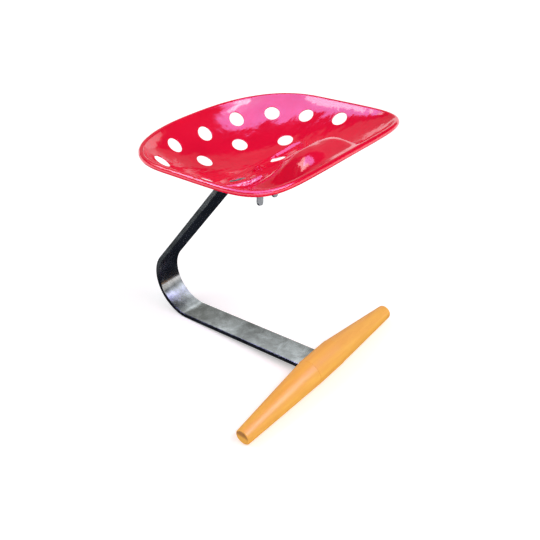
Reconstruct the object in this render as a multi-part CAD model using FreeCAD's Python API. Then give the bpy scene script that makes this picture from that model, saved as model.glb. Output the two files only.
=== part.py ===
import FreeCAD, Part
import os
from math import sin, cos, tan, atan2, degrees, hypot, radians, sqrt

V = FreeCAD.Vector

# Tractor seat stool: a pressed steel seat on one bent flat steel bar, which stands on
# its own bend at the back and on a beech foot bar at the front.
# Millimetres, +Z up, the sitter faces -Y, and X = 0 is the plane of symmetry.
# Lengths along Y are measured from the foot bar's line, and save() moves every piece to
# the frame whose origin is on the floor under the middle of the stool.

# Pressed seat
SHEET = 2.0               # thickness of the steel sheet
LACQUER = 0.1             # film between the seat and what is clamped to it
SEAT_HALF_WIDTH = 213.0   # middle of the rolled rim, from the plane of symmetry
SEAT_WIDEST_Y = 166.0     # where the seat is widest
SEAT_REAR = 138.0         # from the widest line back to the rim
SEAT_FRONT = 213.0        # from the widest line forward to the rim
REAR_ROUNDNESS = 2.4      # 2 would be an ellipse, more is squarer
FRONT_ROUNDNESS = 6.5
FLOOR_Z = 419.0           # top of the sheet at its lowest
RIM_Z = 496.7             # middle of the rolled rim
WALL_POWER = 2.7          # how late the wall turns up
RIM_RADIUS = 7.0          # outside of the roll
RIM_SLIT = 34.0           # degrees that the roll stays open underneath
ROLL_START = 235.0        # where the roll leaves the sheet, 0 degrees is straight out
ROLL_FACETS = 6
RIM_ARC_FIT = 1.5         # the rim's plan is drawn as arcs this near to its curve
SECTION_PITCH = 22.0      # between the sections that the seat is lofted from
SECTION_SPANS = 20        # points across a section
POMMEL_RISE = 79.0        # raised front between the thighs
POMMEL_HALF_WIDTH = 170.0
POMMEL_LENGTH = 180.0     # from its crest back to the floor
POMMEL_CREST_Y = 6.0
RIB_RISE = 6.0            # two stiffening ribs pressed across the floor
RIB_WIDTH = 16.0          # foot of a rib, front to back
RIB_Y = (100.0, 172.0)
RIB_HALF_LENGTH = (100.0, 130.0)

# Holes pressed in the seat
HOLE_DIAMETER = 31.0
OUTER_ANGLES = (37.0, 64.0, 88.0, 109.0)   # on each side of the middle hole at the rear
OUTER_SHARE = 0.85        # where the row lies between the middle and the rim
INNER_ANGLES = (34.0, 86.0)
INNER_SHARE = 0.55
FRONT_HOLE = (60.0, 146.0)   # from the plane of symmetry, and from the foot bar's line

# Bent flat bar
STEM_WIDTH = 60.0
STEM_THICK = 11.0
STEM_EDGE = 0.9           # bevel of its long edges
BEND_RADIUS = 76.0        # inside of the big bend, which stands on the floor
BEND_REACH = 459.0        # from the foot bar's line to the back of the bend
LOWER_SLOPE = 2.9         # degrees that the lower run falls towards the bend
UPPER_SLOPE = 48.8        # degrees that the upper run rises towards the seat
TOP_BEND_RADIUS = 40.0    # inside of the bend under the seat
TIP_REACH = 36.0          # from the bolt to the front end of the pad under the seat
TIP_CORNER = 12.0

# Beech foot bar
FOOT_LENGTH = 500.0
FOOT_MID_RADIUS = 30.0
FOOT_END_RADIUS = 16.5
FOOT_MID_LENGTH = 84.0    # cylindrical middle
FOOT_SHOULDER = 0.3       # step in radius where the arms start
FOOT_END_BEVEL = 2.0
FOOT_FLAT = 0.6           # depth planed off the underside
MORTISE_DEPTH = 18.0      # how far the stem goes past the foot bar's line
MORTISE_PLAY = 0.1        # round the stem

# Seat bolt, washers and wing nut
BOLT_Y = 146.0            # the seat slopes here, and the bolt stands square to it
PAD_REACH = 26.0          # radius of the flat pressed round the bolt
BOLT_DIAMETER = 10.0
BOLT_PLAY = 0.5           # radial, in sheet, stem and washers
THREAD_PLAY = 0.05        # radial, nut on bolt and screw in stem
HEAD_DIAMETER = 20.0
HEAD_HEIGHT = 4.5
CAP_WASHER = 26.0
CAP_WASHER_THICK = 1.5
CLAMP_WASHER = 42.0
CLAMP_WASHER_THICK = 3.0
NUT_HUB_TOP = 22.0        # diameters of the hub
NUT_HUB_BOTTOM = 16.0
NUT_HUB_HEIGHT = 15.0
WING_SPAN = 58.0
WING_DROP = 48.0          # from the top of the hub to the tips
WING_THICK = 4.5
EAR_RADIUS = 7.0          # round end of a wing
BOLT_TAIL = 6.0           # thread that shows below the nut

# Screws that hold the foot bar on the stem
SCREW_X = 18.0
SCREW_DIAMETER = 6.0
SCREW_HEAD = 11.0
SCREW_HEAD_HEIGHT = 3.5
SCREW_IN_STEM = 8.0       # thread in the stem
SCREW_RECESS = 6.0        # head above the planed flat
TIMBER_PLAY = 0.4         # radial, screw in timber

STEM_MID_RADIUS = BEND_RADIUS + STEM_THICK / 2
BEND_Y = BEND_REACH - BEND_RADIUS - STEM_THICK
BEND_Z = BEND_RADIUS + STEM_THICK
FRAME_Y = (BEND_REACH + SEAT_WIDEST_Y - SEAT_FRONT - RIM_RADIUS) / 2


def save(shape, name):
    moved = shape.copy()
    moved.translate(V(0, -FRAME_Y, 0))
    moved.exportStep("parts/" + name + ".step")


def rod(radius, length, base, axis=V(0, 0, 1)):
    return Part.makeCylinder(radius, length, base, axis)


# Seat: its height at any point of the plan follows from how far out the point lies
def share(x, y):
    """0 at the middle of the seat, 1 at the middle of the rim."""
    dy = y - SEAT_WIDEST_Y
    across, along = abs(x / SEAT_HALF_WIDTH), abs(dy / (SEAT_REAR if dy > 0 else SEAT_FRONT))
    power = REAR_ROUNDNESS if dy > 0 else FRONT_ROUNDNESS
    return (across ** power + along ** power) ** (1 / power)


def bell(u):
    """1 at u = 0, falling smoothly to 0 at u = 1 and beyond."""
    return (1 - u * u) ** 3 if abs(u) < 1 else 0.0


def rib(x, y, rib_y, half_length):
    return RIB_RISE * bell(2 * (y - rib_y) / RIB_WIDTH) * bell((x / half_length) ** 4)


def bowl(x, y):
    """Floor, walls and raised front. Far from the rim the bowl is rounder than the rim."""
    edge = share(x, y)
    dy = y - SEAT_WIDEST_Y
    oval = sqrt((x / SEAT_HALF_WIDTH) ** 2 + (dy / (SEAT_REAR if dy > 0 else SEAT_FRONT)) ** 2)
    s = edge + max(0.0, 1 - edge ** 2) * (oval - edge)
    pommel = bell((y - POMMEL_CREST_Y) / POMMEL_LENGTH) * bell((x / POMMEL_HALF_WIDTH) ** 2)
    pommel *= max(0.0, 1 - edge ** 4)
    return FLOOR_Z + (RIM_Z - FLOOR_Z) * s ** WALL_POWER + POMMEL_RISE * pommel


BOLT_Z = bowl(0, BOLT_Y)
PAD_SLOPE = degrees(atan2(bowl(0, BOLT_Y - 1) - bowl(0, BOLT_Y + 1), 2))


def seat_height(x, y):
    z = bowl(x, y) + sum(rib(x, y, at, half) for at, half in zip(RIB_Y, RIB_HALF_LENGTH))
    pad = BOLT_Z - tan(radians(PAD_SLOPE)) * (y - BOLT_Y)
    return z + (pad - z) * bell((hypot(x, y - BOLT_Y) / PAD_REACH) ** 4)


# The bolt and what it holds are drawn upright below the seat, then leaned square to it
UNDER_SEAT = BOLT_Z - SHEET - LACQUER
UNDER_STEM = UNDER_SEAT - STEM_THICK
UNDER_CLAMP = UNDER_STEM - CLAMP_WASHER_THICK


def lean(shape):
    leaned = shape.copy()
    leaned.rotate(V(0, BOLT_Y, BOLT_Z), V(1, 0, 0), -PAD_SLOPE)
    return leaned


def rim_point(angle, scale=1.0):
    """Point of the rim's plan, or of a smaller curve like it; 0 degrees is the rear."""
    dx, dy = sin(radians(angle)), cos(radians(angle))
    size = scale / share(dx, SEAT_WIDEST_Y + dy)
    return V(size * dx, SEAT_WIDEST_Y + size * dy, RIM_Z)


def rim_curve(scale=1.0, steps=48):
    curve = Part.BSplineCurve()
    points = [rim_point(360.0 * i / steps, scale) for i in range(steps)]
    curve.interpolate(Points=points, PeriodicFlag=True)
    return curve


def section(y):
    """The sheet cut across the seat: the pressed side above, the under side SHEET below."""
    reach = SEAT_HALF_WIDTH + RIM_RADIUS
    upper, lower = [], []
    for i in range(SECTION_SPANS + 1):
        t = 2 * i / SECTION_SPANS - 1
        x = reach * (0.7 * t + 0.3 * t ** 3)
        z = seat_height(x, y)
        slope_x = seat_height(x + 1, y) - z
        slope_y = seat_height(x, y + 1) - z
        upper.append(V(x, y, z))
        lower.append(V(x, y, z - SHEET * sqrt(1 + slope_x ** 2 + slope_y ** 2)))
    above, below = Part.BSplineCurve(), Part.BSplineCurve()
    above.interpolate(upper)
    below.interpolate(lower)
    return Part.Wire([above.toShape(), Part.makeLine(upper[-1], lower[-1]),
                      below.toShape(), Part.makeLine(lower[0], upper[0])])


def section_places():
    """Close together across each rib and round the bolt, wider apart elsewhere."""
    y = SEAT_WIDEST_Y - SEAT_FRONT - RIM_RADIUS
    places = [y]
    while y < SEAT_WIDEST_Y + SEAT_REAR + RIM_RADIUS:
        on_rib = min(abs(y - at) for at in RIB_Y) < RIB_WIDTH * 0.6
        on_pad = abs(y - BOLT_Y) < PAD_REACH
        y += RIB_WIDTH / 4 if on_rib else PAD_REACH / 4 if on_pad else SECTION_PITCH
        places.append(y)
    return places


def sheet():
    """The pressed sheet, lofted from section to section and trimmed inside the roll."""
    slab = Part.makeLoft([section(y) for y in section_places()], True, True)
    trim = 1 - 0.6 * RIM_RADIUS / SEAT_FRONT
    outline = Part.Face(Part.Wire(rim_curve(trim).toShape()))
    return slab.common(outline.extrude(V(0, 0, -RIM_Z)).fuse(outline.extrude(V(0, 0, RIM_Z))))


def roll_section(start, out):
    """The sheet's rolled edge, round like the pressed one to within its facets."""
    def turn(radius, first, last):
        steps = [first + (last - first) * i / ROLL_FACETS for i in range(ROLL_FACETS + 1)]
        return [start + out * (radius * cos(radians(a))) + V(0, 0, radius * sin(radians(a)))
                for a in steps]
    last = ROLL_START + RIM_SLIT - 360.0
    points = turn(RIM_RADIUS, ROLL_START, last) + turn(RIM_RADIUS - SHEET, last, ROLL_START)
    return Part.Face(Part.makePolygon(points + points[:1]))


def rolled_rim():
    """The edge of the sheet, rolled outward along arcs and open underneath."""
    spine = Part.Wire([arc.toShape() for arc in rim_curve().toBiArcs(RIM_ARC_FIT)])
    first = spine.Edges[0]
    out = first.tangentAt(first.FirstParameter).cross(V(0, 0, 1))
    start = first.valueAt(first.FirstParameter)
    if out.dot(start - V(0, SEAT_WIDEST_Y, RIM_Z)) < 0:
        out = out * -1
    return spine.makePipe(roll_section(start, out))


def seat_holes():
    spots = [rim_point(0, OUTER_SHARE)]
    for angles, scale in ((OUTER_ANGLES, OUTER_SHARE), (INNER_ANGLES, INNER_SHARE)):
        for turn in angles:
            spots += [rim_point(turn, scale), rim_point(-turn, scale)]
    spots += [V(FRONT_HOLE[0], FRONT_HOLE[1], 0), V(-FRONT_HOLE[0], FRONT_HOLE[1], 0)]
    drills = []
    for spot in spots:
        x, y = spot.x, spot.y
        z = seat_height(x, y)
        normal = V(z - seat_height(x + 1, y), z - seat_height(x, y + 1), 1).normalize()
        centre = V(x, y, z - SHEET / 2)
        drills.append(rod(HOLE_DIAMETER / 2, 44, centre - normal * 22, normal))
    return drills


def seat_pan():
    drills = seat_holes()
    drills.append(lean(rod(BOLT_DIAMETER / 2 + BOLT_PLAY, 40, V(0, BOLT_Y, BOLT_Z - 20))))
    return sheet().cut(Part.makeCompound(drills)).fuse(rolled_rim())


# Stem: one flat bar drawn as a path of runs and bends, then given its width
def bar_outline(start, heading, steps, thick):
    """Face in the plane of symmetry. A step is ("run", length) or ("bend", radius, angle);
    bends turn to the left of the way the path goes, and their radius is the inside one."""
    half = thick / 2
    left, right = [], []
    here, angle = V(*start), radians(heading)
    for step in steps:
        ahead, aside = V(0, cos(angle), sin(angle)), V(0, -sin(angle), cos(angle))
        if step[0] == "run":
            there = here + ahead * step[1]
            left.append(Part.makeLine(here + aside * half, there + aside * half))
            right.append(Part.makeLine(here - aside * half, there - aside * half))
        else:
            centre, turn = here + aside * (step[1] + half), radians(step[2])

            def on(radius, share_of_turn):
                a = angle + turn * share_of_turn
                return centre + V(0, sin(a), -cos(a)) * radius
            left.append(Part.Arc(*[on(step[1], s) for s in (0, 0.5, 1)]).toShape())
            right.append(Part.Arc(*[on(step[1] + thick, s) for s in (0, 0.5, 1)]).toShape())
            there = on(step[1] + half, 1)
            angle += turn
        here = there
    ends = [Part.makeLine(left[0].Vertexes[0].Point, right[0].Vertexes[0].Point),
            Part.makeLine(left[-1].Vertexes[-1].Point, right[-1].Vertexes[-1].Point)]
    return Part.Face(Part.Wire(Part.sortEdges(left + right + ends)[0]))


def lower_point(along):
    """Point of the stem's middle line on its lower run, at a distance from the bend."""
    a = radians(-LOWER_SLOPE)
    start = V(0, BEND_Y, BEND_Z) + V(0, sin(a), -cos(a)) * STEM_MID_RADIUS
    return start - V(0, cos(a), sin(a)) * along


LOWER_RUN = (BEND_Y + MORTISE_DEPTH) / cos(radians(LOWER_SLOPE))
TURN = 180 - UPPER_SLOPE + LOWER_SLOPE


def stem_path():
    """Runs and bends from the foot bar to the tip of the pad under the seat."""
    rise, end = radians(180 - UPPER_SLOPE), radians(180 - PAD_SLOPE)
    top_turn = UPPER_SLOPE - PAD_SLOPE
    depth = BOLT_Z - UNDER_SEAT + STEM_THICK / 2
    under_bolt_y = BOLT_Y - depth * sin(radians(PAD_SLOPE))
    under_bolt_z = BOLT_Z - depth * cos(radians(PAD_SLOPE))
    gap_y = under_bolt_y - (BEND_Y + STEM_MID_RADIUS * sin(rise))
    gap_z = under_bolt_z - (BEND_Z - STEM_MID_RADIUS * cos(rise))
    upper = (gap_y * sin(end) - gap_z * cos(end)) / sin(end - rise)
    pad = (gap_z * cos(rise) - gap_y * sin(rise)) / sin(end - rise)
    corner = (TOP_BEND_RADIUS + STEM_THICK / 2) * tan(radians(top_turn / 2))
    return [("run", LOWER_RUN), ("bend", BEND_RADIUS, TURN), ("run", upper - corner),
            ("bend", TOP_BEND_RADIUS, top_turn), ("run", pad - corner + TIP_REACH)]


def tip_corners():
    """What is cut away to round the two corners of the pad."""
    cuts = []
    for sign in (-1, 1):
        corner = V(sign * STEM_WIDTH / 2, BOLT_Y - TIP_REACH, UNDER_STEM - 1)
        block = Part.makeBox(TIP_CORNER, TIP_CORNER, STEM_THICK + 2)
        block.translate(V(corner.x - (TIP_CORNER if sign > 0 else 0), corner.y, corner.z))
        middle = V(corner.x - sign * TIP_CORNER, corner.y + TIP_CORNER, corner.z)
        cuts.append(lean(block.cut(rod(TIP_CORNER, STEM_THICK + 2, middle))))
    return cuts


def stem():
    face = bar_outline(lower_point(LOWER_RUN), -LOWER_SLOPE, stem_path(), STEM_THICK)
    face.translate(V(-STEM_WIDTH / 2, 0, 0))
    bar = face.extrude(V(STEM_WIDTH, 0, 0))
    long_edges = [e for e in bar.Edges if abs(e.BoundBox.XLength) < 0.01
                  and abs(abs(e.CenterOfMass.x) - STEM_WIDTH / 2) < 0.01
                  and e.Length > STEM_THICK + 1]
    bar = bar.makeChamfer(STEM_EDGE, long_edges)
    bolt_hole = rod(BOLT_DIAMETER / 2 + BOLT_PLAY, STEM_THICK + 2, V(0, BOLT_Y, UNDER_STEM - 1))
    cuts = tip_corners() + [lean(bolt_hole)]
    for sign in (-1, 1):
        cuts.append(screw_bore(sign, SCREW_DIAMETER / 2 + THREAD_PLAY, SCREW_IN_STEM + 1))
    return bar.cut(Part.makeCompound(cuts))


# Foot bar and its screws share one direction: square to the lower run
def under_lower_run(x, depth=0.0):
    """Point under the stem at the foot bar's line, a depth below its underside."""
    a = radians(LOWER_SLOPE)
    middle = lower_point(BEND_Y / cos(a))
    return V(x, middle.y, middle.z) - V(0, sin(a), cos(a)) * (STEM_THICK / 2 + depth)


def square_to_run():
    a = radians(LOWER_SLOPE)
    return V(0, sin(a), cos(a))


def screw_bore(sign, radius, length, from_depth=0.0):
    return rod(radius, length, under_lower_run(sign * SCREW_X, from_depth), square_to_run())


def taper(sign):
    """Tapered arm, tilted by half its taper so that its underside is straight on the floor."""
    start = FOOT_MID_RADIUS - FOOT_SHOULDER
    run = (FOOT_LENGTH - FOOT_MID_LENGTH) / 2
    tilt = atan2(start - FOOT_END_RADIUS, run)
    axis = V(sign * cos(tilt), 0, -sin(tilt))
    inside = start + 10 * tan(tilt)
    x = sign * (FOOT_MID_LENGTH / 2 - start * sin(tilt) - 10 * cos(tilt))
    length = (inside - FOOT_END_RADIUS) / tan(tilt)
    base = V(x, 0, inside * cos(tilt) + FOOT_SHOULDER)
    cone = Part.makeCone(inside, FOOT_END_RADIUS, length, base, axis)
    corner = V(FOOT_MID_LENGTH / 2 if sign > 0 else -FOOT_LENGTH, -50, -50)
    return cone.common(Part.makeBox(FOOT_LENGTH - FOOT_MID_LENGTH / 2, 100, 150, corner))


def mortise():
    """Room for the end of the stem, open to the back."""
    play = MORTISE_PLAY
    box = Part.makeBox(STEM_WIDTH + 2 * play, FOOT_MID_RADIUS + MORTISE_DEPTH + play + 5,
                       STEM_THICK + 2 * play)
    end = lower_point(LOWER_RUN)
    box.translate(V(-STEM_WIDTH / 2 - play, end.y - play, end.z - STEM_THICK / 2 - play))
    box.rotate(end, V(1, 0, 0), -LOWER_SLOPE)
    return box


def head_depth():
    """From the stem's underside down to the outer face of the screw's head."""
    return under_lower_run(0).z - SCREW_RECESS


def foot_bar():
    middle = rod(FOOT_MID_RADIUS, FOOT_MID_LENGTH, V(-FOOT_MID_LENGTH / 2, 0, FOOT_MID_RADIUS),
                 V(1, 0, 0))
    arms = []
    for sign in (-1, 1):
        arm = taper(sign)
        end = max(arm.Edges, key=lambda e: sign * e.CenterOfMass.x)
        arms.append(arm.makeChamfer(FOOT_END_BEVEL, [end]))
    bar = middle.fuse(arms)
    bar.translate(V(0, 0, -FOOT_FLAT))
    planed = Part.makeBox(2 * FOOT_LENGTH, 100, 100, V(-FOOT_LENGTH, -50, -100))
    cuts = [mortise(), planed]
    deep = head_depth()
    for sign in (-1, 1):
        cuts.append(screw_bore(sign, SCREW_DIAMETER / 2 + TIMBER_PLAY, deep, deep))
        cuts.append(screw_bore(sign, SCREW_HEAD / 2 + TIMBER_PLAY, 2 * SCREW_RECESS,
                               deep + 2 * SCREW_RECESS - SCREW_HEAD_HEIGHT))
    return bar.cut(Part.makeCompound(cuts))


def foot_screw(sign):
    deep = head_depth()
    head = screw_bore(sign, SCREW_HEAD / 2, SCREW_HEAD_HEIGHT, deep)
    shank = screw_bore(sign, SCREW_DIAMETER / 2, deep + SCREW_IN_STEM, deep)
    slot = Part.makeBox(1.2, SCREW_HEAD + 2, 1.2, V(sign * SCREW_X - 0.6, -SCREW_HEAD / 2 - 1, 0))
    slot.translate(V(0, under_lower_run(0, deep).y, under_lower_run(0, deep).z - 0.2))
    return head.fuse(shank).cut(slot)


def seat_bolt():
    """Low domed head over the seat's floor, shank down through seat and stem to the nut."""
    top = BOLT_Z + LACQUER + CAP_WASHER_THICK
    bottom = UNDER_CLAMP - NUT_HUB_HEIGHT - BOLT_TAIL
    head, wide, tall = HEAD_DIAMETER / 2, BOLT_DIAMETER / 2, HEAD_HEIGHT
    side_line = [(0, bottom), (wide - 1.2, bottom), (wide, bottom + 1.2), (wide, top), (head, top),
                 (head, top + 0.4 * tall), (0.6 * head, top + tall), (0, top + tall), (0, bottom)]
    points = [V(r, BOLT_Y, z) for r, z in side_line]
    return lean(Part.Face(Part.makePolygon(points)).revolve(V(0, BOLT_Y, 0), V(0, 0, 1), 360))


def washer(diameter, thick, z):
    ring = rod(diameter / 2, thick, V(0, BOLT_Y, z))
    return lean(ring.cut(rod(BOLT_DIAMETER / 2 + BOLT_PLAY, thick, V(0, BOLT_Y, z))))


def wing(sign):
    """Plate that splays down and out of the hub and ends in a round ear."""
    ear = V(sign * (WING_SPAN / 2 - EAR_RADIUS), 0, UNDER_CLAMP - WING_DROP + EAR_RADIUS)
    root_in = V(sign * 2, 0, UNDER_CLAMP - NUT_HUB_HEIGHT)
    root_out = V(sign * NUT_HUB_TOP / 2, 0, UNDER_CLAMP - 4)
    down = (ear - (root_in + root_out) * 0.5).normalize()
    aside = V(0, 1, 0).cross(down) * EAR_RADIUS
    if aside.dot(root_out - root_in) < 0:
        aside = aside * -1
    tip = Part.Arc(ear + aside, ear + down * EAR_RADIUS, ear - aside).toShape()
    rest = Part.makePolygon([ear - aside, root_in, root_out, ear + aside])
    face = Part.Face(Part.Wire([tip] + rest.Edges))
    face.translate(V(0, BOLT_Y - WING_THICK / 2, 0))
    return face.extrude(V(0, WING_THICK, 0))


def wing_nut():
    """Tapered hub with two wings, threaded on the bolt."""
    down = V(0, 0, -1)
    hub = Part.makeCone(NUT_HUB_TOP / 2, NUT_HUB_BOTTOM / 2, NUT_HUB_HEIGHT,
                        V(0, BOLT_Y, UNDER_CLAMP), down)
    bore = rod(BOLT_DIAMETER / 2 + THREAD_PLAY, WING_DROP, V(0, BOLT_Y, UNDER_CLAMP), down)
    return lean(hub.fuse([wing(-1), wing(1)]).cut(bore))


os.makedirs("parts", exist_ok=True)
save(seat_pan(), "seat_pan")
save(stem(), "stem")
save(foot_bar(), "foot_bar")
save(seat_bolt(), "seat_bolt")
save(washer(CAP_WASHER, CAP_WASHER_THICK, BOLT_Z + LACQUER), "cap_washer")
save(washer(CLAMP_WASHER, CLAMP_WASHER_THICK, UNDER_CLAMP), "clamp_washer")
save(wing_nut(), "wing_nut")
for name, sign in (("foot_screw_left", 1), ("foot_screw_right", -1)):
    save(foot_screw(sign), name)
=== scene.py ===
# %% [markdown]
# # A tractor seat stool, dressed
# The stool is a pressed steel tractor seat on one bent flat bar that ends in a wooden foot bar. The
# imported CAD part gives the frame: every node keeps its place, and the one piece made here, the seat,
# stays inside its box. The seat's cells are in millimetres and measured from the foot bar's line, as
# in the CAD source, and `to_frame` turns them into the metres of the frame.

# %% Load the frame, and a helper that measures a part's box
from math import cos, pi, radians, sin

import bmesh
import bpy
import numpy as np
from mathutils import Matrix, Vector
from mathutils.geometry import delaunay_2d_cdt


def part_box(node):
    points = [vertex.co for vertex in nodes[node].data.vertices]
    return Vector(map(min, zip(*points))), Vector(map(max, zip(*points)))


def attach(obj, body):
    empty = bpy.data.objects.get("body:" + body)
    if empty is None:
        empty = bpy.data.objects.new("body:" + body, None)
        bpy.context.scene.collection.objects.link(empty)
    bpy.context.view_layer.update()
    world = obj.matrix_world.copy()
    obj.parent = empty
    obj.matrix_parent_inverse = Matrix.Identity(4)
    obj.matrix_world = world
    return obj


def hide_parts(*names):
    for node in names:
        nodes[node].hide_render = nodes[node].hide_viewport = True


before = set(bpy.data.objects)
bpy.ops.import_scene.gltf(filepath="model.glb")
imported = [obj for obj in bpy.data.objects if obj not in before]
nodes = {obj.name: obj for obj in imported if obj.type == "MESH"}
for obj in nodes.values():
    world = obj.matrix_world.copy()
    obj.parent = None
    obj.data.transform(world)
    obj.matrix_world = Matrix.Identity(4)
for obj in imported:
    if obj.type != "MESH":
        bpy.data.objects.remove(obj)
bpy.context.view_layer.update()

# %% [markdown]
# ## The camera
# It stands to the left of the stool's front, higher than the seat, and looks down by about 32
# degrees. Its place, lens and slight roll were solved from the outlines of the foot bar, the steel
# bar and the rim. An empty that the camera tracks would do as well, but a matrix keeps the roll.

# %% Camera
EYE = Vector((-0.8754, -0.8283, 0.9241))
AIM = Vector((0.0134, -0.0620, 0.1966))
LENS, SENSOR, ROLL_DEGREES = 44.66, 36, -2.455

camera = bpy.data.objects.new("camera", bpy.data.cameras.new("camera"))
bpy.context.scene.collection.objects.link(camera)
camera.data.sensor_width = SENSOR
camera.data.lens = LENS
turn = (AIM - EYE).to_track_quat("-Z", "Y").to_matrix().to_4x4()
camera.matrix_world = Matrix.Translation(EYE) @ turn @ Matrix.Rotation(radians(ROLL_DEGREES), 4, "Z")
bpy.context.scene.camera = camera
print("camera looks back along", [round(v, 3) for v in camera.matrix_world.col[2][:3]])

# %% [markdown]
# ## The pressed seat
# The real seat is one steel sheet, pressed into a bowl with a rounder rear and a squarer front, and
# raised at the front between the sitter's legs. A sculpted or subdivided grid could give that shape.
# Gloss lacquer shows every dent of such a grid, so one formula gives the height of the sheet at each
# place in plan, and its slope gives the normals. The bowl's plan is a blend of an ellipse on the
# floor and a fuller curve at the rim.

# %% Height of the bowl
RIM_Z, FLOOR_Z = 496.7, 419.0        # middle of the rolled rim, and the sheet at its lowest
HALF_WIDTH, WIDEST_Y = 216.5, 159.0
REAR, FRONT = 148.0, 207.2           # from the widest line to the rim's middle
REAR_ROUNDNESS, FRONT_ROUNDNESS = 2.4, 6.5    # 2 is an ellipse, more is squarer
WALL_POWER, SIDE_EASE = 2.7, 0.4     # how late the wall turns up, and how much earlier at the sides
POMMEL_RISE, POMMEL_Y = 60.0, 14.0   # the raised front and its crest
POMMEL_LENGTH, POMMEL_HALF_WIDTH = 128.0, 97.0


def share(x, y):
    """How far out a place lies: 0 in the middle of the widest line, 1 on the rim."""
    dy = y - WIDEST_Y
    reach = np.where(dy > 0, REAR, FRONT)
    power = np.where(dy > 0, REAR_ROUNDNESS, FRONT_ROUNDNESS)
    return (np.abs(x / HALF_WIDTH) ** power + np.abs(dy / reach) ** power) ** (1 / power)


def bell(u):
    return np.clip(1 - u * u, 0, 1) ** 3


def bowl(x, y):
    edge = share(x, y)
    dy = y - WIDEST_Y
    oval = np.hypot(x / HALF_WIDTH, dy / np.where(dy > 0, REAR, FRONT))
    out = edge + np.clip(1 - edge ** 2, 0, 1) * (oval - edge)
    side = np.clip(x * x / (x * x + dy * dy + 1), 0, 1) ** 2
    pommel = bell((y - POMMEL_Y) / POMMEL_LENGTH) * bell((x / POMMEL_HALF_WIDTH) ** 2)
    pommel = pommel * np.clip(1 - edge ** 8, 0, 1)
    wall = (RIM_Z - FLOOR_Z) * out ** (WALL_POWER - SIDE_EASE * side)
    return FLOOR_Z + wall + POMMEL_RISE * pommel


crest = float(bowl(np.array(0.0), np.array(POMMEL_Y)))
print("the raised front is", round(crest - FLOOR_Z, 1), "mm above the seat's floor")

# %% [markdown]
# ## The panel that the bolt clamps
# A long oval is pressed across the floor of the seat, flat where the steel bar clamps it and leaned
# like the bolt. It has a soft edge and a low lip. A second mesh laid over the bowl would show a seam,
# so the panel is part of the same formula, which slides from one height to the other at its edge.

# %% Height with the clamping panel
BOLT_Y, BOLT_Z, PANEL_SLOPE = 146.0, 424.0, 0.3372
PANEL_Y, PANEL_HALF_LENGTH, PANEL_HALF_DEPTH = 135.0, 124.0, 34.0
PANEL_EDGE, PANEL_END_RISE = 8.0, 14.0
LIP_RISE, LIP_WIDTH = 1.5, 6.0
OVER_BAR_X, OVER_BAR_Y, OVER_BAR_GAP = (38.0, 52.0), (66.0, 76.0), 0.5


def soft_step(t):
    t = np.clip(t, 0, 1)
    return t * t * (3 - 2 * t)


def fade(value, start, end):
    """0 before start, 1 after end, and straight between, in either direction."""
    return np.clip((value - start) / (end - start), 0, 1)


def pressed(x, y):
    u, v = x / PANEL_HALF_LENGTH, (y - PANEL_Y) / PANEL_HALF_DEPTH
    q = np.hypot(u, v) + 1e-6
    away = (q - 1) * q / (np.hypot(u / PANEL_HALF_LENGTH, v / PANEL_HALF_DEPTH) + 1e-9)
    leaned = BOLT_Z - PANEL_SLOPE * (y - BOLT_Y)
    z = bowl(x, y)
    z = z + (leaned + PANEL_END_RISE * u ** 4 - z) * soft_step(0.5 - away / PANEL_EDGE)
    z = z + LIP_RISE * bell(away / LIP_WIDTH)
    # Turned half round, the foot of the raised front passes over the end of the steel bar.
    over_bar = fade(np.abs(x), *OVER_BAR_X[::-1]) * fade(y, *OVER_BAR_Y) * (y < BOLT_Y)
    return z + np.maximum(leaned + OVER_BAR_GAP - z, 0) * soft_step(over_bar)


LINE_Y = -202.5     # the foot bar's line in the frame


def to_frame(points):
    return (np.asarray(points, float) + np.array([0, LINE_Y, 0])) / 1000


at_bolt = float(pressed(np.array(0.0), np.array(BOLT_Y)))
print("sheet at the bolt, mm:", round(at_bolt, 2))

# %% [markdown]
# ## How the sheet meets its rolled rim
# The edge of the real sheet is rolled outward, and close to it the wall steepens until it touches the
# roll. A bevel would leave a crease in the gloss. So an extra height dies away inward from a seam that
# runs a little inside the rim, and halving steps find at every station how large it has to be.

# %% The steeper strip along the rim
ROLL_RADIUS = 5.5
STATIONS = 360
INSET, FADE = 8.0, 7.0      # from the rim's middle in to the seam, and how far the strip fades
PROBE = 0.2                 # step over which a slope is measured
LEAST_EXTRA, MOST_EXTRA, HALVINGS = -12.0, 25.0, 40

stations = np.arange(STATIONS) * 2 * pi / STATIONS
ray_x, ray_y = np.sin(stations), np.cos(stations)
rim_reach = 1 / share(ray_x, WIDEST_Y + ray_y)
rim_x, rim_y = rim_reach * ray_x, WIDEST_Y + rim_reach * ray_y
way = np.stack([np.roll(rim_x, -1) - np.roll(rim_x, 1), np.roll(rim_y, -1) - np.roll(rim_y, 1)], -1)
way /= np.linalg.norm(way, axis=1, keepdims=True)
out_x, out_y = -way[:, 1], way[:, 0]
seam_x, seam_y = rim_x - INSET * out_x, rim_y - INSET * out_y


def seam_rise(extra):
    """Lean of the sheet at the seam, and how far it is below the roll's tangent there."""
    z = pressed(seam_x, seam_y) - RIM_Z
    ahead = pressed(seam_x + PROBE * out_x, seam_y + PROBE * out_y) - RIM_Z
    slope = (ahead - z) / PROBE + extra / FADE
    lean = np.arctan(slope)
    touch = ROLL_RADIUS * np.cos(lean) - slope * (INSET - ROLL_RADIUS * np.sin(lean))
    return lean, touch - z - extra


low, high = np.full(STATIONS, LEAST_EXTRA), np.full(STATIONS, MOST_EXTRA)
for _ in range(HALVINGS):
    seam_extra = (low + high) / 2
    below = seam_rise(seam_extra)[1] > 0
    low, high = np.where(below, seam_extra, low), np.where(below, high, seam_extra)
print("extra height at the seam, mm:", seam_extra.min().round(1), "to", seam_extra.max().round(1))

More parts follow.
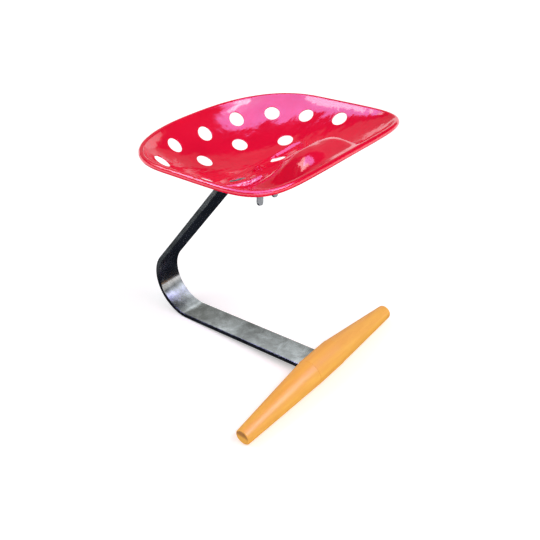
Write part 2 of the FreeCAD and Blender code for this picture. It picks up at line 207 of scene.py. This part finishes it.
# %% Height and normals of the finished sheet
SHEET = 2.0


def height(x, y):
    half = PROBE / 2
    change = np.hypot(share(x + half, y) - share(x - half, y), share(x, y + half) - share(x, y - half))
    inward = (1 - share(x, y)) / (change / PROBE + 1e-6)
    extra = np.interp(np.arctan2(x, y - WIDEST_Y), stations, seam_extra, period=2 * pi)
    return pressed(x, y) + extra * np.exp((INSET - inward) / FADE)


def normals(x, y):
    slope_x = (height(x + PROBE, y) - height(x - PROBE, y)) / (2 * PROBE)
    slope_y = (height(x, y + PROBE) - height(x, y - PROBE)) / (2 * PROBE)
    n = np.stack([-slope_x, -slope_y, np.ones_like(slope_x)], -1)
    return n / np.linalg.norm(n, axis=-1, keepdims=True)


def on_sheet(x, y):
    return np.stack([x, y, height(x, y)], -1)


print("height of the sheet at the seam, mm:", height(seam_x, seam_y).min().round(1), "or more")

# %% [markdown]
# ## The holes
# Fifteen round holes let rain and air through, and one more takes the bolt. They are drilled square
# to the sheet, and their edges are rounded. A Boolean cut would leave long thin triangles that break
# up the gloss, so each hole starts as a ring of points that lies on the sheet.

# %% Rings round the holes
HOLE_RADIUS, BOLT_HOLE_RADIUS, REAR_HOLE_Y = 15.5, 5.5, 281.0
HOLE_PAIRS = ((86, 275), (153, 237), (181, 171), (188, 94), (50, 237), (116, 174), (58, 147))
HOLE_EDGE = 0.6         # radius of the rounded edge
RING_POINTS = 48
LIFT_STEPS = 12         # small moves that bring a ring's points onto the sheet


def ring(centre, normal, radius):
    """Points on the sheet at a radius from a hole's axis, and their way out from the axis."""
    across = np.cross(normal, [0, 1, 0])
    across /= np.linalg.norm(across)
    along = np.cross(normal, across)
    a = np.arange(RING_POINTS) * 2 * pi / RING_POINTS
    out = radius * (np.cos(a)[:, None] * across + np.sin(a)[:, None] * along)
    lift = np.zeros(RING_POINTS)
    for _ in range(LIFT_STEPS):
        p = centre + out + lift[:, None] * normal
        lift += (height(p[:, 0], p[:, 1]) - p[:, 2]) * normal[2]
    return centre + out + lift[:, None] * normal, out


def drill(x, y, radius):
    x, y = np.array(float(x)), np.array(float(y))
    centre, normal = on_sheet(x, y), normals(x, y)
    edge, out = ring(centre, normal, radius + HOLE_EDGE)
    return {"centre": centre, "normal": normal, "radius": radius, "edge": edge, "out": out}


holes = [drill(0, REAR_HOLE_Y, HOLE_RADIUS)]
holes += [drill(side * x, y, HOLE_RADIUS) for x, y in HOLE_PAIRS for side in (-1, 1)]
holes.append(drill(0, BOLT_Y, BOLT_HOLE_RADIUS))
print(len(holes), "holes")

# %% [markdown]
# ## The sheet between the rim and the holes
# Rows of points run across the seat, closer together over the clamping panel, where the sheet bends
# most. Triangles join them in plan, with the seam and the holes' rings as fixed edges, and the formula
# then lifts every point. That gives even triangles right up to each hole.

# %% Rows of points, kept clear of the seam and the holes
PITCH = 3.2
PANEL_ROWS = (90, 180)      # rows are twice as close between these lines
SEAM_MARGIN, HOLE_MARGIN = 2.2, 4.4
seam_angle = np.arctan2(seam_x, seam_y - WIDEST_Y)
seam_reach = np.hypot(seam_x, seam_y - WIDEST_Y)
order = np.argsort(seam_angle)


def inside_seam(points, margin):
    angle = np.arctan2(points[:, 0], points[:, 1] - WIDEST_Y)
    limit = np.interp(angle, seam_angle[order], seam_reach[order], period=2 * pi)
    return np.hypot(points[:, 0], points[:, 1] - WIDEST_Y) < limit - margin


plan, y, row = [], WIDEST_Y - FRONT, 0
while y < WIDEST_Y + REAR:
    plan += [(x + PITCH / 2 * (row % 2), y) for x in np.arange(-HALF_WIDTH, HALF_WIDTH, PITCH)]
    y += PITCH / 2 if PANEL_ROWS[0] < y < PANEL_ROWS[1] else PITCH
    row += 1
plan = np.array(plan)
plan = plan[inside_seam(plan, SEAM_MARGIN)]
for hole in holes:
    from_hole = on_sheet(plan[:, 0], plan[:, 1]) - hole["centre"]
    along = from_hole @ hole["normal"]
    away = np.sqrt(np.clip((from_hole ** 2).sum(1) - along ** 2, 0, None))
    plan = plan[away > hole["radius"] + HOLE_EDGE + HOLE_MARGIN]
print(len(plan), "points in", row, "rows")

# %% Triangles in plan
RING_STEPS = ((1.0, 1), (2.6, 2))      # further rings: distance from the edge, and every nth point


def closed(first, count):
    return [(first + i, first + (i + 1) % count) for i in range(count)]


flat, edges = [], []
for hole in holes:
    hole["first"] = len(flat)
    flat += [tuple(p[:2]) for p in hole["edge"]]
    edges += closed(hole["first"], RING_POINTS)
    for distance, every in RING_STEPS:
        p, _ = ring(hole["centre"], hole["normal"], hole["radius"] + HOLE_EDGE + distance)
        flat += [tuple(q[:2]) for q in p[::every]]
seam_first = len(flat)
flat += list(zip(seam_x, seam_y))
edges += closed(seam_first, STATIONS)
flat += [tuple(p) for p in plan]
joined, _, faces, origin, _, _ = delaunay_2d_cdt([Vector(p) for p in flat], edges, [], 0, 1e-5)
print("rings that cross:", len(joined) - len(flat))

own_number = np.array([o[0] for o in origin])
faces = own_number[np.array([list(f) for f in faces])]
flat = np.array(flat)
keep = inside_seam(flat[faces].mean(1), 0)
for hole in holes:
    first = hole["first"]
    keep &= ~((faces >= first) & (faces < first + RING_POINTS)).all(1)
faces = faces[keep]
print(len(flat), "points,", len(faces), "triangles on each side")

# %% [markdown]
# ## The rolled rim
# From the seam the sheet turns over outward and ends underneath in a rounded lip, open on its inner
# side as a rolled edge is. A bevelled curve would be a closed tube. So one section is worked out at
# every station: the upper side, round the lip, and back along the under side.

# %% Sections of the rim
TURN_STEPS = 24
LAST_TURN = radians(-91)        # where the roll ends, 0 is straight out
LIP_TURNS = np.radians([45, 90, 135])


def rim_sections():
    """Upper side of the sheet, as (out, up) from the rim's middle, and its normals."""
    lean, _ = seam_rise(seam_extra)
    start = pi / 2 + lean
    spots = [np.stack([np.full(STATIONS, -INSET), height(seam_x, seam_y) - RIM_Z], -1)]
    facing = [np.stack([-np.sin(lean), np.cos(lean)], -1)]
    for i in range(TURN_STEPS + 1):
        turned = start + (LAST_TURN - start) * i / TURN_STEPS
        facing.append(np.stack([np.cos(turned), np.sin(turned)], -1))
        spots.append(ROLL_RADIUS * facing[-1])
    return np.array(spots), np.array(facing)


upper, facing = rim_sections()
lip_way = np.array([sin(LAST_TURN), -cos(LAST_TURN)])
lip_middle = upper[-1] - facing[-1] * SHEET / 2
lip_facing = [facing[-1] * cos(t) + lip_way * sin(t) for t in LIP_TURNS]
lip = [lip_middle + SHEET / 2 * towards for towards in lip_facing]
under = upper - facing * SHEET
profile = np.concatenate([upper, lip, under[::-1]])
profile_facing = np.concatenate([facing, lip_facing, -facing[::-1]])


def out_and_up(pairs):
    return np.stack([pairs[..., 0] * out_x, pairs[..., 0] * out_y, pairs[..., 1]], -1)


rim_spots = out_and_up(profile) + np.stack([rim_x, rim_y, np.full(STATIONS, RIM_Z)], -1)
rim_facing = out_and_up(profile_facing)
print(len(profile), "points round each of", STATIONS, "sections of the rim")

# %% [markdown]
# ## One sheet of steel
# The upper side, the under side, the holes' rounded edges and the rolled rim are joined into one
# closed mesh. A Solidify modifier would thicken the sheet too, but not round its edges. The normals
# come from the formula, so the lacquer mirrors as smoothly as it does on the pressed sheet.

# %% Gather points and faces
UPPER_TURNS, LOWER_TURNS = np.radians([30, 60, 90]), np.radians([0, 30, 60])


class Steel:
    """Points, the way they face, and the faces between them, added loop by loop."""
    def __init__(self):
        self.points, self.facing, self.faces, self.count = [], [], [], 0

    def add(self, points, facing):
        self.points.append(points)
        self.facing.append(facing)
        self.count += len(points)
        return list(range(self.count - len(points), self.count))

    def band(self, a, b):
        for i in range(len(a)):
            j = (i + 1) % len(a)
            self.faces.append((a[i], a[j], b[j], b[i]))


def unit(vectors):
    return vectors / np.linalg.norm(vectors, axis=1, keepdims=True)


steel = Steel()
top_points, top_facing = on_sheet(flat[:, 0], flat[:, 1]), normals(flat[:, 0], flat[:, 1])
under_points = top_points - SHEET * top_facing
steel.add(top_points, top_facing)
under_first = steel.add(under_points, -top_facing)[0]
steel.faces += [tuple(f) for f in faces] + [tuple(under_first + f[::-1]) for f in faces]


def round_edge(hole):
    """Loops from the upper to the under side of the sheet, round the edge of a hole."""
    top = list(range(hole["first"], hole["first"] + RING_POINTS))
    n = top_facing[top]
    e = unit(hole["out"])
    e = unit(e - (e * n).sum(1, keepdims=True) * n)
    loops = [top]
    for t in UPPER_TURNS:
        towards = n * cos(t) - e * sin(t)
        loops.append(steel.add(top_points[top] - HOLE_EDGE * n + HOLE_EDGE * towards, towards))
    for t in LOWER_TURNS:
        towards = -e * cos(t) - n * sin(t)
        loops.append(steel.add(under_points[top] + HOLE_EDGE * n + HOLE_EDGE * towards, towards))
    return loops + [[under_first + i for i in top]]


def rim_loops():
    seam = list(range(seam_first, seam_first + STATIONS))
    inner = [steel.add(rim_spots[i], rim_facing[i]) for i in range(1, len(profile) - 1)]
    return [seam] + inner + [[under_first + i for i in seam]]


for loops in [round_edge(hole) for hole in holes] + [rim_loops()]:
    for a, b in zip(loops, loops[1:]):
        steel.band(a, b)
print(steel.count, "points,", len(steel.faces), "faces")

# %% Make the seat's mesh
used = sorted({i for face in steel.faces for i in face})
renumber = {old: new for new, old in enumerate(used)}
spots = to_frame(np.concatenate(steel.points))[used]
mesh = bpy.data.meshes.new("seat_shell")
mesh.from_pydata(spots.tolist(), [], [[renumber[i] for i in face] for face in steel.faces])
mesh.validate()
mesh.shade_smooth()
mesh.normals_split_custom_set_from_vertices(np.concatenate(steel.facing)[used].tolist())
seat = bpy.data.objects.new("seat_shell", mesh)
bpy.context.scene.collection.objects.link(seat)
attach(seat, "seat")
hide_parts("seat_pan")
print("seat", len(mesh.vertices), "vertices", len(mesh.polygons), "faces")

# %% [markdown]
# ## Materials
# Nodes can be placed by hand in the shader editor, or be written. Written ones read well when they
# look like sums: a socket wrapped in `Value` takes part in Python arithmetic, and each operation adds
# its Math node. Every other node comes from `Tree.node`, and `Paint` holds a material's shader.

# %% A socket that can be added and multiplied
class Value:
    """An output of a node tree. Each operation on it adds a Math node."""
    def __init__(self, tree, out):
        self.tree, self.out = tree, out

    def maths(self, operation, *values):
        return self.tree.node("Math", {"operation": operation}, dict(enumerate(values)))

    def __add__(self, other):
        return self.maths("ADD", self, other)

    def __radd__(self, other):
        return self.maths("ADD", other, self)

    def __sub__(self, other):
        return self.maths("SUBTRACT", self, other)

    def __rsub__(self, other):
        return self.maths("SUBTRACT", other, self)

    def __mul__(self, other):
        return self.maths("MULTIPLY", self, other)

    def __rmul__(self, other):
        return self.maths("MULTIPLY", other, self)

    def ramp(self, low, high):
        """0 below low, 1 above high, and a smooth step between."""
        return self.tree.node("MapRange", {"interpolation_type": "SMOOTHSTEP"},
                              {0: self, 1: low, 2: high})


class Tree:
    """A node tree, and the one method that adds a node to it."""
    def __init__(self, tree):
        self.tree = tree

    def node(self, kind, settings=None, values=None, output=0):
        made = self.tree.nodes.new("ShaderNode" + kind)
        for key, setting in (settings or {}).items():
            setattr(made, key, setting)
        for key, value in (values or {}).items():
            self.put(made.inputs[key], value)
        return Value(self, made.outputs[output])

    def put(self, socket, value):
        if isinstance(value, Value):
            self.tree.links.new(value.out, socket)
        elif isinstance(value, (tuple, list)) and len(value) == 3 and socket.type == "RGBA":
            socket.default_value = (*value, 1)
        else:
            socket.default_value = value


print("operations on a value: + - *, and ramp")

# %% A material with one shader
class Paint(Tree):
    """A material with a Principled shader, whose inputs are given by name."""
    def __init__(self, name):
        self.material = bpy.data.materials.new(name)
        self.material.use_nodes = True
        super().__init__(self.material.node_tree)
        self.shader = self.tree.nodes["Principled BSDF"]

    def place(self, scale=(1, 1, 1)):
        spot = self.node("TexCoord", output="Object")
        return self.node("Mapping", {}, {"Vector": spot, "Scale": scale})

    def noise(self, where, scale, detail=2.0, rough=0.5, warp=0.0):
        return self.node("TexNoise", {}, {"Vector": where, "Scale": scale, "Detail": detail,
                                          "Roughness": rough, "Distortion": warp})

    def mix(self, share_of_b, a, b):
        return self.node("Mix", {"data_type": "RGBA"}, {0: share_of_b, 6: a, 7: b}, output=2)

    def bump(self, relief, strength, distance, normal=None):
        values = {"Height": relief, "Strength": strength, "Distance": distance}
        if normal is not None:
            values["Normal"] = normal
        return self.node("Bump", {}, values)

    def finish(self, **inputs):
        for key, value in inputs.items():
            self.put(self.shader.inputs[key.replace("_", " ")], value)
        return self.material


def coat(obj, material):
    obj.data.materials.clear()
    obj.data.materials.append(material)
    print(material.name, "on", obj.name)


# %% [markdown]
# ### Red lacquer
# The seat, the bolt's head and the washer under it share one coat of deep, slightly cold red. A plain
# colour with a shiny coat would look like plastic. Pressed sheet is never quite even: a long wave
# bends what it mirrors, and a fine orange peel breaks the edge of each highlight. The specular level
# of 1 is that of a thick, polished coat.

# %% Lacquer
def lacquer():
    p = Paint("red_lacquer")
    cloud = p.noise(p.place(), scale=7, detail=3)
    wave = p.noise(p.place((1, 1.6, 1)), scale=22, warp=0.3)
    peel = p.noise(p.place(), scale=300)
    colour = p.mix(cloud.ramp(0.3, 0.7), (0.78, 0.001, 0.034), (0.90, 0.002, 0.042))
    surface = p.bump(wave, strength=0.5, distance=0.0035)
    surface = p.bump(peel, strength=0.05, distance=0.0003, normal=surface)
    return p.finish(Base_Color=colour, Roughness=0.08 + cloud * 0.08,
                    Specular_IOR_Level=1.0, Normal=surface)


red = lacquer()
for obj in (seat, nodes["seat_bolt"], nodes["cap_washer"]):
    coat(obj, red)


# %% [markdown]
# ### Worn chrome
# The flat bar is chromed and has been touched for years. Clean chrome is a mirror with no colour of
# its own. Here a haze of fine wear dulls parts of it, which changes its colour and its roughness
# together, and a slow wave in the bar bends its reflections.

# %% Chrome
def chrome():
    p = Paint("worn_chrome")
    haze = p.noise(p.place(), scale=26, detail=5, rough=0.6, warp=0.4)
    wave = p.noise(p.place(), scale=34)
    colour = p.mix(haze.ramp(0.35, 0.7), (0.42, 0.42, 0.41), (0.72, 0.73, 0.73))
    return p.finish(Base_Color=colour, Metallic=1.0, Roughness=0.12 + haze * 0.12,
                    Normal=p.bump(wave, strength=0.12, distance=0.0016))


coat(nodes["stem"], chrome())


# %% [markdown]
# ### Varnished beech
# The foot bar is turned from one length of beech, so its grain runs along X. A Wave texture gives
# rings that are too regular for it. Noise that is stretched along the bar gives soft grain, thin
# streaks and the short dark flecks of beech. The ends show darker end grain.

# %% Beech
END_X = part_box("foot_bar")[1][0]
END_BEVEL, END_SOFTNESS = 0.0011, 0.0007


def beech():
    p = Paint("varnished_beech")
    grain = p.noise(p.place((0.35, 6, 6)), scale=14, detail=4, warp=0.2)
    streaks = p.noise(p.place((0.6, 22, 22)), scale=40, detail=3, rough=0.6)
    flecks = p.noise(p.place((2.2, 9, 9)), scale=120)
    along = p.node("SeparateXYZ", {}, {0: p.place()})
    at_end = along.maths("ABSOLUTE", along).ramp(END_X - END_BEVEL, END_X - END_BEVEL + END_SOFTNESS)
    colour = p.mix(grain.ramp(0.3, 0.7), (0.98, 0.50, 0.068), (0.92, 0.42, 0.050))
    colour = p.mix(streaks.ramp(0.5, 0.75) * 0.22, colour, (0.70, 0.27, 0.03))
    colour = p.mix(flecks.ramp(0.70, 0.76) * 0.5, colour, (0.42, 0.15, 0.02))
    colour = p.mix(at_end, colour, (0.48, 0.20, 0.04))
    return p.finish(Base_Color=colour, Roughness=0.36 + grain * 0.12, Coat_Weight=0.12,
                    Coat_Roughness=0.2, Normal=p.bump(streaks, strength=0.08, distance=0.0004))


coat(nodes["foot_bar"], beech())


# %% [markdown]
# ### Zinc plate
# The wing nut, its washer and the two screws are zinc-plated and dull. A brushed texture would be
# wrong for cast and pressed parts, so a fine cloud varies colour, roughness and relief.

# %% Zinc
def zinc():
    p = Paint("zinc_plate")
    cloud = p.noise(p.place(), scale=150, detail=4, rough=0.6)
    colour = p.mix(cloud, (0.16, 0.17, 0.18), (0.44, 0.45, 0.46))
    return p.finish(Base_Color=colour, Metallic=1.0, Roughness=0.24 + cloud * 0.2,
                    Normal=p.bump(cloud, strength=0.2, distance=0.0006))


grey = zinc()
for name in ("clamp_washer", "wing_nut", "foot_screw_left", "foot_screw_right"):
    coat(nodes[name], grey)

# %% [markdown]
# ## The studio
# The stool stands on a pale floor before a white background, in soft light. A stronger lamp would
# make the floor white, and bleach the stool as well. So the floor's own colour is pale, it glows a
# little and more with distance, and it keeps the stool's shadow. The world is white for the rays that
# see it, and dimmer for those that light the stool.

# %% A flat stage piece
def stage_mesh(name, corners):
    mesh = bpy.data.meshes.new(name)
    mesh.from_pydata(corners, [], [tuple(range(len(corners)))])
    return stage_object(name, mesh)


def stage_object(name, mesh):
    obj = bpy.data.objects.new(name, mesh)
    bpy.context.scene.collection.objects.link(obj)
    return obj


# %% Floor
FLOOR_HALF, FLOOR_DROP = 6.0, 0.0004
NEAR, FAR = 1.0, 3.5
NEAR_GLOW, FAR_GLOW = (0.35, 0.35, 0.35), (1, 1, 1)

floor = stage_mesh("floor", [(x * FLOOR_HALF, y * FLOOR_HALF, -FLOOR_DROP)
                             for x, y in ((-1, -1), (1, -1), (1, 1), (-1, 1))])
ground = Paint("pale_floor")
from_stool = ground.node("VectorMath", {"operation": "LENGTH"}, {0: ground.place()}, output=1)
glow_with_distance = ground.mix(from_stool.ramp(NEAR, FAR), NEAR_GLOW, FAR_GLOW)
ground.finish(Base_Color=(0.88, 0.88, 0.88), Roughness=0.9, Emission_Strength=1.0,
              Emission_Color=glow_with_distance)
coat(floor, ground.material)

# %% World
FILL_LIGHT = 0.55       # what the world gives to the rays that only light the stool

world = bpy.data.worlds.new("studio")
bpy.context.scene.world = world
world.use_nodes = True
sky = Tree(world.node_tree)
by_camera, in_gloss, through = [sky.node("LightPath", output="Is " + ray + " Ray")
                                for ray in ("Camera", "Glossy", "Transmission")]
seen = by_camera.maths("MAXIMUM", by_camera.maths("MAXIMUM", by_camera, in_gloss), through)
background = sky.tree.nodes["Background"]
sky.put(background.inputs["Color"], (1, 1, 1))
sky.put(background.inputs["Strength"], FILL_LIGHT + seen * (1 - FILL_LIGHT))
print("world:", len(sky.tree.nodes), "nodes")


# %% Lamps
def lamp(name, spot, target, size, power):
    light = bpy.data.lights.new(name, "AREA")
    light.shape = "RECTANGLE"
    light.size, light.size_y = size
    light.energy = power
    obj = bpy.data.objects.new(name, light)
    obj.location = spot
    obj.rotation_euler = (Vector(target) - Vector(spot)).to_track_quat("-Z", "Y").to_euler()
    bpy.context.scene.collection.objects.link(obj)
    print("lamp", name, power, "W")


lamp("key", (0.4, -1.9, 2.3), (0, 0, 0.3), (1.6, 1.0), 30)
lamp("back", (-0.9, 1.3, 2.0), (0, 0, 0.4), (1.4, 0.9), 14)

# %% [markdown]
# ## What the gloss mirrors
# Polished chrome and lacquer look like what they mirror. On the real stool that is a dark room with a
# large window overhead. Painting the reflections on would fix them in place, so cards that only
# mirrored rays see stand round the stool: a dark ceiling, two dark discs on the floor, the window, and
# smaller cards for the bend, the near rim and the lower run. The ceiling stops above the horizon, and
# there metal and lacquer mirror the white background and the pale floor.

# %% A glowing card
DIM_SHARE = 0.15        # what is left of the glow in the darkest patches of a mottled card


def glow(obj, colour, strength, mottle=0.0):
    p = Paint(obj.name)
    patches = p.noise(p.place(), scale=3, detail=4, rough=0.6, warp=0.4).ramp(0.35, 0.65)
    dim = tuple(DIM_SHARE * part for part in colour)
    p.finish(Base_Color=(0, 0, 0), Specular_IOR_Level=0.0, Emission_Strength=strength,
             Emission_Color=p.mix(patches * mottle, colour, dim))
    coat(obj, p.material)
    for ray in ("camera", "diffuse", "transmission", "shadow", "volume_scatter"):
        setattr(obj, "visible_" + ray, False)


def disc(name, x, y, z, radius, sides=48):
    turns = [2 * pi * i / sides for i in range(sides)]
    return stage_mesh(name, [(x + radius * cos(t), y + radius * sin(t), z) for t in turns])


# %% A dark ceiling over a white horizon
CEILING_RADIUS, HORIZON = 5.0, 1.3

dome = bmesh.new()
bmesh.ops.create_icosphere(dome, subdivisions=4, radius=CEILING_RADIUS)
low_faces = [face for face in dome.faces if face.calc_center_median().z < HORIZON]
bmesh.ops.delete(dome, geom=low_faces, context="FACES")
ceiling = bpy.data.meshes.new("ceiling")
dome.to_mesh(ceiling)
dome.free()
glow(stage_object("ceiling", ceiling), (0.35, 0.42, 0.60), 0.05, mottle=0.5)

# %% Window overhead and discs on the floor
WINDOW_Z = 2.2
WINDOW = ((1.6, -3.6), (0.3, -3.6), (-2.2, -0.5), (-2.1, 2.3), (-0.1, 1.3), (0.22, 0.75),
          (0.3, 0.02), (0.8, -0.35), (1.2, -0.75), (2.0, -2.6))
glow(stage_mesh("window", [(x, y, WINDOW_Z) for x, y in WINDOW]), (0.40, 0.38, 1.0), 5.2,
     mottle=0.25)
glow(disc("floor_disc", 0, 0, 0.0002, 0.9), (0.30, 0.38, 0.60), 0.03)
glow(disc("grey_disc", -0.45, 0.5, 0.0004, 0.35), (0.80, 0.90, 1.0), 0.10)

# %% Cards for the bend, the near rim and the lower run
BEND_CARD_X = 0.42
BEND_CARD = ((-0.42, 0.14), (0.0, 0.14), (0.03, 0.43), (0.62, 0.43), (0.62, 0.64), (-0.1, 0.64),
             (-0.42, 0.5))
NEAR_CARD = ((-1.2, -0.8, 0.5), (-0.3, -1.5, 0.5), (-0.3, -1.5, 0.95), (-1.2, -0.8, 0.95))
GREY_CARD = ((3.0, 0.2, 0.9), (0.2, 3.0, 0.9), (0.2, 2.6, 2.9), (2.6, 0.2, 2.9))
glow(stage_mesh("bend_card", [(BEND_CARD_X, y, z) for y, z in BEND_CARD]), (0.90, 0.97, 1.0), 1.4,
     mottle=0.8)
glow(stage_mesh("near_card", NEAR_CARD), (0.44, 0.42, 1.0), 5.5)
glow(stage_mesh("grey_card", GREY_CARD), (0.95, 1.0, 0.95), 0.34, mottle=0.6)

# %% [markdown]
# ## The end
# The picture is shown with the Standard view, so that a colour comes out as it is written. The
# dressed stool has to stay inside the CAD part's box.

# %% Finish with the Standard view
bpy.context.scene.view_settings.view_transform = "Standard"
